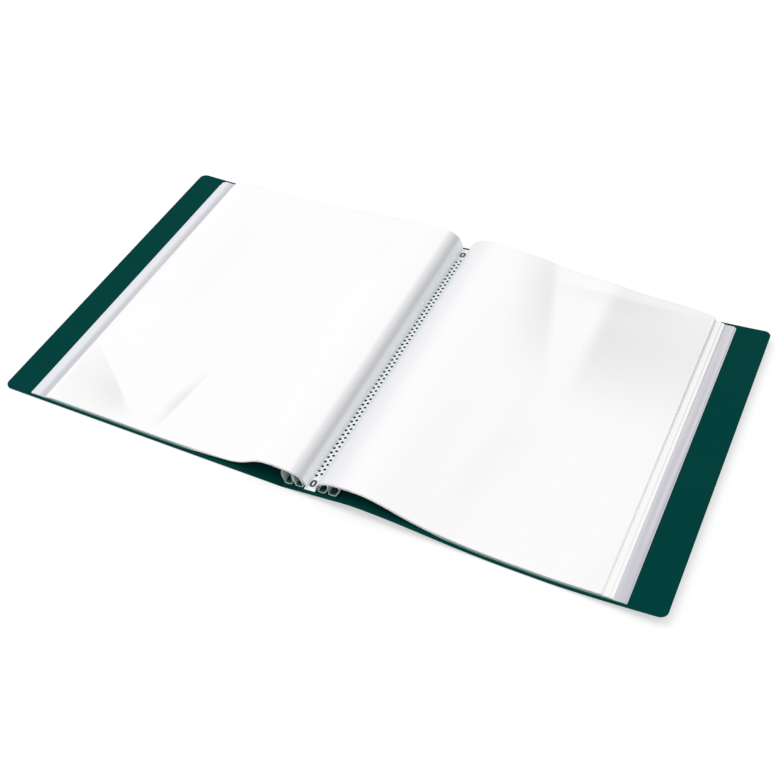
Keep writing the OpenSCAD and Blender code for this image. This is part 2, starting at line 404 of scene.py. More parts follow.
between_rings = math_node(stamp, "LESS_THAN", from_middle, FIRST_POINT)
near_point = inside(stamp, nearest, POINT_REACH, POINT_FADE)
points = math_node(stamp, "MULTIPLY", near_point, between_rings)
from_ring = math_node(stamp, "ABSOLUTE", math_node(stamp, "SUBTRACT", from_middle, RING_Y))
from_ring = math_node(stamp, "SUBTRACT", from_ring, RING_STRAIGHT)
past_straight = math_node(stamp, "MAXIMUM", from_ring, 0)
across_square = math_node(stamp, "MULTIPLY", across, across)
past_square = math_node(stamp, "MULTIPLY", past_straight, past_straight)
from_centre = math_node(stamp, "SQRT", math_node(stamp, "ADD", across_square, past_square))
off_ring = math_node(stamp, "ABSOLUTE", math_node(stamp, "SUBTRACT", from_centre, RING_RADIUS))
on_ring = inside(stamp, off_ring, RING_HALF_WIDTH, RING_FADE)
stamp.links.new(math_node(stamp, "MAXIMUM", points, on_ring), stamp_out.inputs["Mask"])
print("group", stamp.name, "with", len(stamp.nodes), "nodes")

# %% Weld material
WELD_MILK = (0.84, 0.885, 0.875, 1)
WELD_SHADE_TONE = (0.030, 0.110, 0.098, 1)
WELD_PRESSED = (0.006, 0.040, 0.036, 1)
MIDDLE_WELD = "weld_3"


def welded_film(name, weld_tone):
    """Films pressed together: glossy in the tone given, and dark where the tool pressed deepest."""
    material, tree, shader, place = start_material(name)
    pressed = use_group(tree, stamp, place).outputs["Mask"]
    weld_colour = mix_tones(tree, pressed, weld_tone, WELD_PRESSED)
    tree.links.new(weld_colour, shader.inputs["Base Color"])
    give_handling(tree, shader, place, scale=120.0, low=0.16, high=0.34)
    give_grain(tree, shader, place, scale=700.0, strength=0.2)
    return material


weld_finish = welded_film("weld_milky", WELD_MILK)
# The outer welds lie under the films: they get a dark green of painted shade instead of milk.
weld_shade_finish = welded_film("weld_painted_shade", WELD_SHADE_TONE)
WELD_NODES = [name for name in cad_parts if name.startswith("weld_")]
for node_name in WELD_NODES:
    dress(node_name, weld_finish if node_name == MIDDLE_WELD else weld_shade_finish)
print("milky finish on", len(WELD_NODES), "weld strips")

# %% [markdown]
# ## The pocket film
# The films are clear, but a stack of them scatters so much light that it looks white. Near the
# weld fewer films stand between the eye and the green spine, so the slope has cool and pinkish
# bands, and on the left slope painted shade darkens the film near the gutter. Where the film is
# creased or bowed, painted shade in soft grey stands in for the light the tilted film loses: crisp
# on the side of the crease, fading on the other, and in soft bands across the pages.

# %% Painted shade along a crease
WANDER = 0.012

# A mask of painted shade along a crease or bow: crisp on one side, fading on the other.
fold_shade, fold_shade_in, fold_shade_out = start_group(
    "painted_fold_shade",
    [("X", 0.0), ("Y", 0.0), ("Turn", 0.0), ("Half Length", 0.03), ("Width", 0.02), ("Crisp", 0.002)],
    [("Mask", "NodeSocketFloat")],
)
centre = fold_shade.nodes.new("ShaderNodeCombineXYZ")
moved = add_node(fold_shade, "ShaderNodeVectorMath", operation="SUBTRACT")
turned = add_node(fold_shade, "ShaderNodeVectorRotate", rotation_type="Z_AXIS")
axes = fold_shade.nodes.new("ShaderNodeSeparateXYZ")
ripple = add_node(fold_shade, "ShaderNodeTexNoise", Scale=30.0, Detail=2.0)
for axis in ("X", "Y"):
    join(fold_shade, fold_shade_in, axis, centre, axis)
fold_shade.links.new(fold_shade_in.outputs["Vector"], moved.inputs[0])
fold_shade.links.new(centre.outputs[0], moved.inputs[1])
join(fold_shade, moved, 0, turned, "Vector")
join(fold_shade, fold_shade_in, "Turn", turned, "Angle")
join(fold_shade, turned, 0, axes, "Vector")
join(fold_shade, fold_shade_in, "Vector", ripple, "Vector")
wander = math_node(fold_shade, "MULTIPLY_ADD", ripple.outputs[0], WANDER, -WANDER / 2)
shifted = math_node(fold_shade, "ADD", axes.outputs["Y"], wander)
along = math_node(fold_shade, "ABSOLUTE", axes.outputs["X"])
crisp, width, half_length = (fold_shade_in.outputs[name] for name in ("Crisp", "Width", "Half Length"))
crisp_side = map_range(fold_shade, axes.outputs["Y"], (0.0, crisp), kind="SMOOTHSTEP")
faint_side = map_range(fold_shade, shifted, (0.0, width), (1.0, 0.0), "SMOOTHSTEP")
ends = map_range(fold_shade, along, (0.0, half_length), (1.0, 0.0), "SMOOTHSTEP")
both_sides = math_node(fold_shade, "MULTIPLY", crisp_side, faint_side)
fold_shade.links.new(math_node(fold_shade, "MULTIPLY", both_sides, ends), fold_shade_out.inputs["Mask"])
print("group", fold_shade.name, "with", len(fold_shade.nodes), "nodes")

# %% Painted shade in soft bands
# Soft grey bands of painted shade, standing in for the uneven reflections of the bowed film.
streak_shade, streak_shade_in, streak_shade_out = start_group(
    "painted_streak_shade",
    [("Across", 12.0), ("Along", 3.0), ("From", 0.5), ("To", 0.75)],
    [("Mask", "NodeSocketFloat")],
)
stretch = add_node(streak_shade, "ShaderNodeVectorMath", operation="MULTIPLY")
scales = streak_shade.nodes.new("ShaderNodeCombineXYZ")
bands = add_node(streak_shade, "ShaderNodeTexNoise", Scale=1.0, Detail=2.0, Roughness=0.45)
join(streak_shade, streak_shade_in, "Across", scales, "X")
join(streak_shade, streak_shade_in, "Along", scales, "Y")
streak_shade.links.new(streak_shade_in.outputs["Vector"], stretch.inputs[0])
streak_shade.links.new(scales.outputs[0], stretch.inputs[1])
join(streak_shade, stretch, 0, bands, "Vector")
band_limits = (streak_shade_in.outputs["From"], streak_shade_in.outputs["To"])
banded = map_range(streak_shade, bands.outputs[0], band_limits, kind="SMOOTHSTEP")
streak_shade.links.new(banded, streak_shade_out.inputs["Mask"])
print("group", streak_shade.name, "with", len(streak_shade.nodes), "nodes")

# %% Film material
MM = 0.001
FILM_UV = "course"
COURSE_SPAN = 0.06
FILM_SPECULAR = 0.4


def slope_ramp(tree, slope_tones):
    """Colour by the distance from the weld, read from the film's own UV map."""
    course = add_node(tree, "ShaderNodeUVMap", uv_map=FILM_UV)
    split = tree.nodes.new("ShaderNodeSeparateXYZ")
    ramp = tree.nodes.new("ShaderNodeValToRGB")
    ramp.color_ramp.interpolation = "EASE"
    while len(ramp.color_ramp.elements) < len(slope_tones):
        ramp.color_ramp.elements.new(1.0)
    for element, (distance, tone) in zip(ramp.color_ramp.elements, slope_tones):
        element.position = distance * MM / COURSE_SPAN
        element.color = (*tone, 1)
    join(tree, course, "UV", split, "Vector")
    tree.links.new(math_node(tree, "DIVIDE", split.outputs["X"], COURSE_SPAN), ramp.inputs["Fac"])
    return ramp.outputs["Color"]


def split_place(tree, place):
    """The X, Y and Z of a material's Object coordinates."""
    split = tree.nodes.new("ShaderNodeSeparateXYZ")
    join(tree, place, "Object", split, "Vector")
    return split.outputs


def clear_film(name, slope_tones, grey, streak_shades, fold_shades):
    """Glossy clear film: tones up the slope, then painted shade in soft grey bands and along creases.
    """
    material, tree, shader, place = start_material(name)
    across, along, low, high, strength = streak_shades
    soft = use_group(tree, streak_shade, place, Across=across, Along=along, From=low, To=high)
    total = math_node(tree, "MULTIPLY", soft.outputs["Mask"], strength)
    for values, fold_shade_strength in fold_shades:
        one = use_group(tree, fold_shade, place, **values)
        weighted = math_node(tree, "MULTIPLY", one.outputs["Mask"], fold_shade_strength)
        total = math_node(tree, "ADD", total, weighted)
    tones = mix_tones(tree, total, slope_ramp(tree, slope_tones), grey)
    tree.links.new(tones, shader.inputs["Base Color"])
    give_handling(tree, shader, place, scale=24.0, low=0.22, high=0.38)
    give_grain(tree, shader, place, scale=420.0, strength=0.08)
    shader.inputs["Specular IOR Level"].default_value = FILM_SPECULAR
    return material, tree, shader, place, tones


print("a film's tones reach", round(COURSE_SPAN / MM), "mm from its weld")


# %% Cut edges at the closed end
HUMP_CUT = (-0.1498, -0.1508)
STACK_CUT = (-0.1518, -0.1524)
STRIP_CUT = (-0.1525, -0.1531)


def cut_edge(tree, shader, tone, y_socket, edge_tone, cut):
    """Another tone at the closed end, past the first and all of it at the second y of the cut."""
    at_end = map_range(tree, y_socket, cut, kind="SMOOTHSTEP")
    rim = mix_tones(tree, at_end, tone, edge_tone)
    tree.links.new(rim, shader.inputs["Base Color"])
    return rim


print("cut edges fade over", round((HUMP_CUT[0] - HUMP_CUT[1]) / MM, 1), "mm")

# %% The two pages
PAGE = (0.965, 0.953, 0.960)
# The grey of the painted shade on the films.
SHADE_GREY = (0.70, 0.70, 0.70, 1)
# Tint over the spine plus painted shade: the grey band at 11 to 13 mm is shade near the gutter.
LEFT_SLOPE_TINT_AND_SHADE = [
    (0, (0.92, 0.96, 0.97)),
    (5, (0.90, 0.92, 0.95)),
    (8, (0.78, 0.795, 0.825)),
    (11, (0.57, 0.575, 0.60)),
    (13, (0.57, 0.575, 0.595)),
    (15, (0.66, 0.665, 0.685)),
    (18, (0.785, 0.775, 0.79)),
    (22, (0.965, 0.95, 0.958)),
    (26, PAGE),
]
RIGHT_SLOPE = [
    (0, (0.78, 0.83, 0.81)),
    (6, (0.77, 0.785, 0.82)),
    (14, (0.82, 0.825, 0.85)),
    (22, (0.865, 0.86, 0.885)),
    (28, (0.935, 0.915, 0.935)),
    (34, PAGE),
]
# Creases and bows of the pages that get painted shade, each with its strength.
LEFT_FOLD_SHADES = [
    (dict(X=-0.192, Y=-0.112, Turn=-2.447, Half_Length=0.062, Width=0.075, Crisp=0.002), 0.34),
    (dict(X=-0.176, Y=-0.126, Turn=-2.30, Half_Length=0.030, Width=0.034, Crisp=0.003), 0.24),
    (dict(X=-0.129, Y=-0.112, Turn=-1.45, Half_Length=0.046, Width=0.013, Crisp=0.003), 0.6),
]
RIGHT_FOLD_SHADES = [
    (dict(X=0.099, Y=0.112, Turn=-1.845, Half_Length=0.125, Width=0.050, Crisp=0.010), 0.52),
    (dict(X=0.131, Y=0.092, Turn=1.571, Half_Length=0.105, Width=0.200, Crisp=0.016), 0.62),
    (dict(X=0.150, Y=0.139, Turn=3.05, Half_Length=0.090, Width=0.030, Crisp=0.004), 0.25),
]
# Painted shade in soft bands over the pages: scales across and along, mask limits, strength.
PAGE_SHADE_STREAKS = (13.0, 3.5, 0.55, 0.9, 0.2)
left_film = clear_film("film_left", LEFT_SLOPE_TINT_AND_SHADE, SHADE_GREY, PAGE_SHADE_STREAKS, LEFT_FOLD_SHADES)[0]
right_film = clear_film("film_right", RIGHT_SLOPE, SHADE_GREY, PAGE_SHADE_STREAKS, RIGHT_FOLD_SHADES)[0]
print("pages:", left_film.name, right_film.name)

# %% The strips along the outer edges
STRIP_DARK = (0.57, 0.56, 0.615)
STRIP_LIGHT = (0.78, 0.80, 0.84, 1)
STRIP_END = (0.06, 0.17, 0.15, 1)
# Near the weld, inside the hump, the strip films are darkened with painted shade.
STRIP_SHADED_TONES = [(0, (0.42, 0.50, 0.48)), (40, (0.55, 0.58, 0.58)), (56, STRIP_DARK)]
# Fine bands of painted shade along the strips, in a cool grey.
STRIP_SHADE_STREAKS = (300.0, 5.0, 0.42, 0.66, 0.45)
STRIP_SHADE_GREY = (0.78, 0.79, 0.83, 1)
LIGHT_HALF = (0.2345, 0.2395)

edge_film, tree, shader, place, tones = clear_film(
    "film_edge", STRIP_SHADED_TONES, STRIP_SHADE_GREY, STRIP_SHADE_STREAKS, []
)
axes = split_place(tree, place)
to_the_left = math_node(tree, "MULTIPLY", axes["X"], -1)
outer_half = map_range(tree, to_the_left, LIGHT_HALF, kind="SMOOTHSTEP")
lighter = mix_tones(tree, outer_half, tones, STRIP_LIGHT)
cut_edge(tree, shader, lighter, axes["Y"], STRIP_END, STRIP_CUT)
print("strips:", edge_film.name)

# %% The films between
# Inside the hump they carry painted shade with a light cut edge; over the cover the cut edge is green.
HUMP_SHADE = (0.40, 0.49, 0.47)
HUMP_RIM = (0.92, 0.95, 0.95)
STACK_RIM = (0.36, 0.50, 0.47, 1)
MIDDLE_SHADED_TONES = [(0, HUMP_SHADE), (30, (0.50, 0.57, 0.56)), (50, PAGE)]
RIM_TONES = [(0, HUMP_RIM), (36, HUMP_RIM), (60, PAGE)]
MIDDLE_SHADE_STREAKS = (13.0, 3.5, 0.6, 0.9, 0.1)

middle_film, tree, shader, place, tones = clear_film(
    "film_middle", MIDDLE_SHADED_TONES, SHADE_GREY, MIDDLE_SHADE_STREAKS, []
)
axes = split_place(tree, place)
rimmed = cut_edge(tree, shader, tones, axes["Y"], slope_ramp(tree, RIM_TONES), HUMP_CUT)
cut_edge(tree, shader, rimmed, axes["Y"], STACK_RIM, STACK_CUT)
print("inner films:", middle_film.name)

# %% [markdown]
# ## How the films lie
# Every film starts upright on its weld, turns over a crest near the spine and then lies down over
# the cover. The closed ends lie flat, and the open mouths are puffed up by the air between the
# films. These few functions say how high the stack is at any place, in millimetres. A place is
# given by its distance u from the middle of the album, and by its share v of the way from the
# closed end to the mouth. In the names, NEAR is at the closed end and FAR is at the mouth.

# %% Sizes in millimetres
FRONT = -1
BACK = 1
SIDE_NAME = {FRONT: "front", BACK: "back"}
POCKETS = 7
TOP = POCKETS - 1
NEAR_Y = -151
FILM_LENGTH = 299
MOUTH_STEP = 4
SPINE_HALF = 22
OUTER_U = {
    FRONT: [245, 243, 231.5, 230.3, 228.2, 227.6, 227.0],
    BACK: [241, 239.6, 231.0, 228.2, 223.6, 223.0, 222.4],
}
print("two sides of", POCKETS, "pockets,", FILM_LENGTH, "mm long")

# %% The cover
# A name with _D holds a distance from the spine's edge.
COVER_THICK = 0.8
SPINE_RISE = 5.1
BACK_RISE = 1.3
BACK_TOP = 6.4
BACK_TOP_D = 17
BACK_FLAT_D = 144
BACK_FALL_POWER = 1.3
BACK_LIFT_D = 159
BACK_LIFT_RUN = 87.8
BACK_LIFT = 7.2
BACK_LIFT_POWER = 1.5


def soft_step(low, high, value):
    """0 before low, 1 after high, and a soft change between them."""
    share = min(1, max(0, (value - low) / (high - low)))
    return share * share * (3 - 2 * share)


def cover_top(side, u):
    """Height of the upper face of the spine, the flat front cover and the bowed back cover."""
    if u < SPINE_HALF:
        return SPINE_RISE * (side * u + SPINE_HALF) / (2 * SPINE_HALF) + COVER_THICK
    if side == FRONT:
        return COVER_THICK
    d = u - SPINE_HALF
    if d < BACK_TOP_D:
        return BACK_TOP - BACK_RISE * (1 - d / BACK_TOP_D) ** 2 + COVER_THICK
    if d < BACK_FLAT_D:
        turn = math.pi * (d - BACK_TOP_D) / (BACK_FLAT_D - BACK_TOP_D)
        return BACK_TOP * ((1 + math.cos(turn)) / 2) ** BACK_FALL_POWER + COVER_THICK
    if d < BACK_LIFT_D:
        return COVER_THICK
    return BACK_LIFT * ((d - BACK_LIFT_D) / BACK_LIFT_RUN) ** BACK_LIFT_POWER + COVER_THICK


print("back cover 100 mm out is", round(cover_top(BACK, 100), 2), "mm high")

# %% The stack
CREST_U = 32
CREST_NEAR = {FRONT: 16.6, BACK: 18.4}
CREST_FAR = 22.4
STACK_NEAR = 2.6
SHOULDER_NEAR = {FRONT: 34, BACK: CREST_U}
FALL_NEAR = {FRONT: 22, BACK: 38}
FALL_NEAR_POWER = 2.5
FLAT_FAR = {FRONT: 9.5, BACK: 13}
SHOULDER_FAR = 40
FALL_FAR = {FRONT: 70, BACK: 85}
FALL_FAR_POWER = 1.5
BACK_EDGE_DROP = 3.5
BACK_EDGE_U = (200, 235)
PUFF_POWER = 1.3
WAVES_FROM = (44, 80)
WAVE_LENGTH = 46
WAVE_TURNS = 1.3
WAVE_SEED = 7.0
WAVE_SHARE = 0.16
RIPPLE_LENGTH = 21
RIPPLE_TURNS = 5.0
RIPPLE_SEED = 3.0
RIPPLE_SHARE = 0.035


def relief(side, u, v):
    """Slow waves and small ripples of the film, as a share of the stack's height."""
    wave = noise.noise(Vector((u / WAVE_LENGTH, v * WAVE_TURNS, WAVE_SEED * side)))
    small = noise.noise(Vector((u / RIPPLE_LENGTH, v * RIPPLE_TURNS, RIPPLE_SEED + side)))
    return soft_step(*WAVES_FROM, u) * (WAVE_SHARE * wave * v + RIPPLE_SHARE * small)


def fall_off(u, shoulder, reach, power):
    """1 as far as the shoulder, then a soft fall towards 0."""
    return math.exp(-((max(0, u - shoulder) / reach) ** power))


def stack_top(side, u, v):
    """Height of the uppermost film."""
    cover = cover_top(side, u)
    hump = CREST_NEAR[side] - cover_top(side, CREST_U) - STACK_NEAR
    hump *= fall_off(u, SHOULDER_NEAR[side], FALL_NEAR[side], FALL_NEAR_POWER)
    near = cover + STACK_NEAR + hump
    puff = CREST_FAR - FLAT_FAR[side]
    puff *= fall_off(u, SHOULDER_FAR, FALL_FAR[side], FALL_FAR_POWER)
    far = FLAT_FAR[side] + puff
    if side == BACK:
        far -= BACK_EDGE_DROP * soft_step(*BACK_EDGE_U, u)
    level = near + (far - near) * v**PUFF_POWER
    return cover + (level - cover) * (1 + relief(side, u, v))


for v, end in ((0, "near"), (1, "far")):
    print("stack 120 mm out,", end, "end:", round(stack_top(FRONT, 120, v), 2), "mm high")

# %% [markdown]
# ## The course of one film
# A film is a sheet that is curved one way, so it is drawn as a row of stations from the weld to
# its outer edge, and each station is a line along the spine. From the weld to the crest the course
# is a smooth curve of four control points. Three pockets of each side stand on the middle weld and
# turn straight out to the crest. The four below them stand on the outer welds: they rise, bulge and
# close under the lowest of those three, which makes the loops at the closed end, and then follow
# it to the crest. After the crest the films share out the height of the stack. A grid is added with one
# column a station, and its points are moved onto the course, because no edit operator bends a
# sheet by such a rule.

# %% Crests of the films
CREST_PITCH_NEAR = 0.30
CREST_PITCH_FAR = 0.60
FILM_IN_LAYER = 0.75


def film_share(pocket, is_front):
    """Share of the stack's height at which a film lies."""
    layer = 2 * pocket + (1 if is_front else 0)
    return (layer + FILM_IN_LAYER) / (2 * POCKETS)


def crest_pitch(v):
    """Height from one film pair's crest to the next."""
    return CREST_PITCH_NEAR + (CREST_PITCH_FAR - CREST_PITCH_NEAR) * v


def crest_of(side, pocket, v):
    """Height of a film pair's crest."""
    top = CREST_NEAR[side] + (CREST_FAR - CREST_NEAR[side]) * v**PUFF_POWER
    return top - (TOP - pocket) * crest_pitch(v)


print("lowest crest of the front side:", round(crest_of(FRONT, 0, 0), 2), "mm high")

# %% The climb from the weld
LAND_THICK = 1.5
FOOT_GAP = 0.06
START_U = {
    FRONT: [20.9, 15.1, 11.9, 6.1, 4.1, 3.5, 2.9],
    BACK: [20.9, 15.1, 11.9, 6.8, 5.2, 4.6, 4.0],
}
LOWEST_ON_MIDDLE = 4
CLIMB_LEAN = 0.03
CLIMB_RISE = 0.66
CLIMB_SHOULDER = 0.72
# For each pocket on an outer weld: how far from its foot its loop closes under the middle weld's
# lowest pair, and the bulge of its curve low down and near the top.
LOOP_SHAPES = {
    0: (1.6, 2.9, 1.9),
    1: (1.0, -0.5, -1.2),
    2: (1.5, 2.7, 1.5),
    3: (3.0, -0.3, -1.2),
}
LOOP_LOW = 0.30
LOOP_HIGH = 0.22
HALVINGS = 22


def bezier(course, t):
    """Point of a cubic curve through four control points."""
    weights = [(1 - t) ** 3, 3 * t * (1 - t) ** 2, 3 * t * t * (1 - t), t**3]
    return [sum(w * p[i] for w, p in zip(weights, course)) for i in (0, 1)]


def climb_share_at(side, pocket, u, v):
    """Share of the climb's curve at a distance from the middle, found by halving."""
    low, high = 0.0, 1.0
    for _ in range(HALVINGS):
        middle = (low + high) / 2
        if climb_point(side, pocket, middle, v)[0] < u:
            low = middle
        else:
            high = middle
    return low


def climb_point(side, pocket, t, v):
    """Point of the climb from the weld to the crest, at a share t of its curve."""
    start = START_U[side][pocket]
    foot = cover_top(side, start) + LAND_THICK + FOOT_GAP
    if pocket < LOWEST_ON_MIDDLE:
        return loop_point(side, pocket, t, v, start, foot)
    crest = crest_of(side, pocket, v)
    reach = CREST_U - start
    course = [
        (start, foot),
        (start + CLIMB_LEAN * reach, foot + CLIMB_RISE * (crest - foot)),
        (CREST_U - CLIMB_SHOULDER * reach, crest),
        (CREST_U, crest),
    ]
    return bezier(course, t)


def loop_point(side, pocket, t, v, start, foot):
    """The climb from an outer weld: half of it up the loop, half along under the pair above."""
    step, bulge_low, bulge_high = LOOP_SHAPES[pocket]
    meet = start + step
    if t > 0.5:
        meet += (CREST_U - meet) * (2 * t - 1)
    share = climb_share_at(side, LOWEST_ON_MIDDLE, meet, v)
    above = climb_point(side, LOWEST_ON_MIDDLE, share, v)[1]
    under = above - (LOWEST_ON_MIDDLE - pocket) * crest_pitch(v)
    if t > 0.5:
        return [meet, under]
    rise = under - foot
    course = [
        (start, foot),
        (start + bulge_low, foot + LOOP_LOW * rise),
        (meet + bulge_high, under - LOOP_HIGH * rise),
        (meet, under),
    ]
    return bezier(course, 2 * t)


print("lowest loop closes at", climb_point(FRONT, 0, 0.5, 0)[0], "mm from the middle")

# %% Where a film runs
FILM_APART = 0.14
LOOP_OPEN = 1.2
LOOP_OPEN_POWER = 12
NUDGE = 0.01
BUNCH_START = CREST_U + 6
BUNCH_END_NEAR = 130
BUNCH_END_STEP = 50


def climb_place(side, pocket, apart, t, v):
    """Point of one film on the climb, set off square to its pair's course."""
    u, z = climb_point(side, pocket, t, v)
    before = climb_point(side, pocket, max(0, t - NUDGE), v)
    after = climb_point(side, pocket, min(1, t + NUDGE), v)
    run = Vector((after[0] - before[0], after[1] - before[1])).normalized()
    return u - run[1] * apart, z + run[0] * apart


def film_point(side, pocket, is_front, station, v):
    """Distance from the middle and height of a film at a station."""
    kind, value = station
    apart = FILM_APART if is_front else -FILM_APART
    if kind == "climb":
        if pocket < TOP:
            apart *= 1 + LOOP_OPEN * (1 - v) ** LOOP_OPEN_POWER * math.sin(math.pi * value)
        return climb_place(side, pocket, apart, value, v)
    cover = cover_top(side, value)
    top = stack_top(side, value, v)
    crest_cover = cover_top(side, CREST_U)
    crest_height = stack_top(side, CREST_U, v) - crest_cover
    crest_share = (crest_of(side, pocket, v) + apart - crest_cover) / crest_height
    mix = soft_step(BUNCH_START, BUNCH_END_NEAR - BUNCH_END_STEP * v, value)
    share = crest_share * (1 - mix) + film_share(pocket, is_front) * mix
    return value, cover + share * (top - cover)


print("top film, 100 mm out, near end:", film_point(FRONT, TOP, True, ("run", 100), 0))

# %% Stations of a film
SEAM = 3.0
SEAM_LEAD = 1.5
CLIMB_STEPS = 24
HUMP_END = 72
HUMP_STEPS = 16
SEAM_STATIONS = (3.6, 3.0, 2.4, 1.6, 0.9, 0.4, 0)
END_ROWS = (0, 0.4, 1, 2, 2.7, 3.3, 4.2)
EVEN_ROWS_FROM = 6


def spread(low, high, count):
    """Evenly spaced values from low to high, both included."""
    return [low + (high - low) * i / count for i in range(count + 1)]


def film_stations(side, pocket, step):
    """Stations from weld to outer edge, closer together at the seam."""
    outer = OUTER_U[side][pocket]
    climb = [("climb", t) for t in spread(0, 1, CLIMB_STEPS)]
    hump = spread(CREST_U, HUMP_END, HUMP_STEPS)[1:]
    inner = outer - SEAM - SEAM_LEAD
    flat = spread(HUMP_END, inner, round((inner - HUMP_END) / step))[1:]
    seam = [outer - d for d in SEAM_STATIONS]
    return climb + [("run", u) for u in hump + flat + seam]


def film_rows(step):
    """Shares of the way from the closed end to the mouth, closer at both ends."""
    middle = spread(EVEN_ROWS_FROM, FILM_LENGTH - EVEN_ROWS_FROM, round(FILM_LENGTH / step))
    rows = [*END_ROWS, *middle, *(FILM_LENGTH - y for y in reversed(END_ROWS))]
    return [y / FILM_LENGTH for y in rows]


print("stations of the top film:", len(film_stations(FRONT, TOP, 3)), "rows:", len(film_rows(4)))

# %% [markdown]
# ## Making a film
# The grid is laid on the course, then Solidify gives it its thickness, so that every film is a
# closed skin. The front film of a pocket dips onto the back film along the seam at its closed end
# and its outer edge, and it stops short of the mouth, which leaves a lip to open the pocket by.

# %% Distance along the course
HALF_WAY = 0.5
COURSE_STEPS = 12


def course_length(side, pocket, station):
    """How far along its course a station is from the weld, half way to the mouth."""
    kind, value = station
    if kind == "run":
        return course_length(side, pocket, ("climb", 1)) + value - CREST_U
    shares = spread(0, value, COURSE_STEPS)
    points = [Vector(climb_point(side, pocket, t, HALF_WAY)) for t in shares]
    return sum((b - a).length for a, b in zip(points, points[1:]))


def mark_course(film, side, pocket, stations):
    """Writes the distance from the weld into the film's UV map, in metres, for the slope's tones."""
    lengths = [course_length(side, pocket, station) * MM for station in stations]
    uv_map = film.data.uv_layers[0]
    uv_map.name = FILM_UV
    for loop, uv in zip(film.data.loops, uv_map.data):
        column = round(uv.uv.x * (len(stations) - 1))
        uv.uv = (lengths[column], film.data.vertices[loop.vertex_index].co.y)


print("top film's climb is", round(course_length(FRONT, TOP, ("climb", 1)), 1), "mm long")

# %% Sheets
FILM_THICK = 0.1
SMOOTH_ANGLE = math.radians(40)


def start_sheet(name, columns, rows):
    """A flat grid, a metre square, with its points still to be moved."""
    bpy.ops.object.select_all(action="DESELECT")
    bpy.ops.mesh.primitive_grid_add(x_subdivisions=columns, y_subdivisions=rows, size=1)
    sheet = bpy.context.object
    sheet.name = name
    return sheet


def finish_sheet(sheet, thick, offset, finish):
    """Gives a sheet its thickness, its shading and its finish."""
    skin = sheet.modifiers.new("thickness", "SOLIDIFY")
    skin.thickness = thick * MM
    skin.offset = offset
    bpy.ops.object.modifier_apply(modifier=skin.name)
    bpy.ops.object.shade_smooth_by_angle(angle=SMOOTH_ANGLE)
    sheet.data.materials.append(finish)


print("films are", FILM_THICK, "mm thick")

# %% Lay a film
CORNER = 1.5
SEAM_PRESS = 0.62
SEAM_SOFT = (0.8, 1.4)
FAR_LIFT = 3.2
NEAR_LIFT = 1.2
NEAR_FAN = 0.2
FAN_U = (60, 130)


def film_place(side, pocket, is_front, station, row):
    """Distance from the middle, distance from the closed end and height of a film's point."""
    outer = OUTER_U[side][pocket]
    length = FILM_LENGTH - (MOUTH_STEP if is_front else 0)
    y = row * length
    u, z = film_point(side, pocket, is_front, station, y / FILM_LENGTH)
    if is_front and station[0] == "run":
        below = film_point(side, pocket, False, station, y / FILM_LENGTH)[1]
        free = soft_step(*SEAM_SOFT, min((outer - u) / SEAM, y / SEAM))
        z = below + (z - below) * (SEAM_PRESS + (1 - SEAM_PRESS) * free)
    past = max(0, u - (outer - CORNER))
    inset = CORNER - math.sqrt(max(0, CORNER**2 - past**2))
    y = inset + y * (length - 2 * inset) / length
    fan = NEAR_LIFT + NEAR_FAN * (TOP - pocket)
    y += FAR_LIFT * row - fan * soft_step(*FAN_U, u) * (1 - row)
    return u, y, z


def lay_film(name, side, pocket, is_front, stations, rows, finish):
    """One film as a closed sheet along the given stations."""
    film = start_sheet(name, len(stations) - 1, len(rows) - 1)
    for vertex in film.data.vertices:
        station = stations[round((vertex.co.x + 0.5) * (len(stations) - 1))]
        row = rows[round((vertex.co.y + 0.5) * (len(rows) - 1))]
        u, y, z = film_place(side, pocket, is_front, station, row)
        vertex.co = (side * u * MM, (NEAR_Y + y) * MM, z * MM)
    if side == FRONT:
        film.data.flip_normals()
    mark_course(film, side, pocket, stations)
    finish_sheet(film, FILM_THICK, 0, finish)
    return film


print("seams are", SEAM, "mm wide")

# %% [markdown]
# ## The six lower pockets of each cover
# When a cover closes, its pockets stand up with it and only the humps bend. Here each film is laid
# at rest, and the frame's pieces it stands for are hidden. From above, the two lowest pockets show
# only as strips along the outer edge. The sixth has the finish of a page, because it is the page
# that lies open when the leaf above it has turned.

# %% Lay the lower pockets
STRIP_POCKETS = 2
COARSE_STEP = 9
page_film = {FRONT: left_film, BACK: right_film}


def lower_finish(side, pocket):
    """The finish of a pocket under the top one."""
    if pocket < STRIP_POCKETS:
        return edge_film
    return page_film[side] if pocket == TOP - 1 else middle_film


for side in (FRONT, BACK):
    for pocket in range(POCKETS - 1):
        label = f"{SIDE_NAME[side]}_{pocket + 1}"
        stations = film_stations(side, pocket, COARSE_STEP)
        rows = film_rows(COARSE_STEP)
        finish = lower_finish(side, pocket)
        back_film = lay_film(f"{label}_back_sheet", side, pocket, False, stations, rows, finish)
        front_film = lay_film(f"{label}_front_sheet", side, pocket, True, stations, rows, finish)
        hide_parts(f"{label}_root", f"{label}_back_film")
        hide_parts(f"{label}_front_film")
        for film in (back_film, front_film):
            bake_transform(film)
    print(SIDE_NAME[side], "side: 12 films laid")

# %% [markdown]
# ## The page that turns
# The top pocket of each side turns over to the other side. Its film bends twice: its foot goes
# from the spine to the stack below it, and the rest goes from that stack to the turning page. The
# film is laid at rest in four lengths that meet exactly. For each joint the start and end of a
# blend are worked out from the shares of the turn, but no blend is applied.

# %% Shares of the turn
TURN_AT = [(10, 0.0), (24, 0.705), (66, 0.941), (112, 0.989)]


def smooth_inverse(share):
    """The place between 0 and 1 where a soft step reaches that share."""
    return 0.5 - math.sin(math.asin(1 - 2 * share) / 3)


